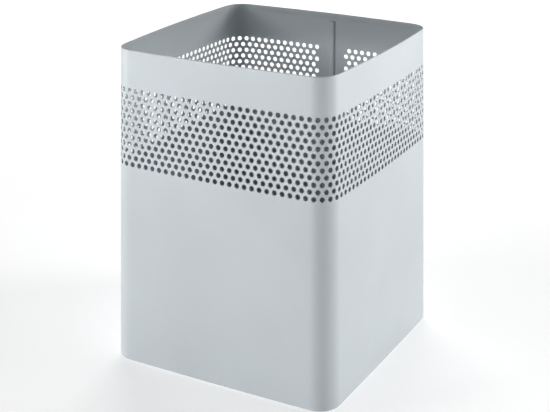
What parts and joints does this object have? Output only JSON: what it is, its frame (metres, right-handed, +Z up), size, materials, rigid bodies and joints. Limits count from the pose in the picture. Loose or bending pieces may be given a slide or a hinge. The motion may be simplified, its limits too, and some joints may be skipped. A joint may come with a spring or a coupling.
{
  "type": "wastebasket",
  "caption": "Square open-topped steel wastebasket with rounded corners, a hemmed rim, a folded wall seam, a pressed base pan and push-in floor glides.",
  "frame": {"origin": "on the floor, under the middle of the base", "axes": "+Z up along the height, +Y towards the side with the seam, +X along the front from left to right"},
  "size_m": [0.2516, 0.2516, 0.3125],
  "materials": {
    "wall_coat": "satin silver-grey powder coat on sheet steel",
    "pan_coat": "satin silver-grey powder coat on sheet steel",
    "glide_plastic": "matte black moulded plastic"
  },
  "bodies": {
    "root": {"wall_sheet": "wall_coat", "base_pan": "pan_coat", "glide_front_left": "glide_plastic", "glide_front_right": "glide_plastic", "glide_back_left": "glide_plastic", "glide_back_right": "glide_plastic"}
  },
  "joints": []
}
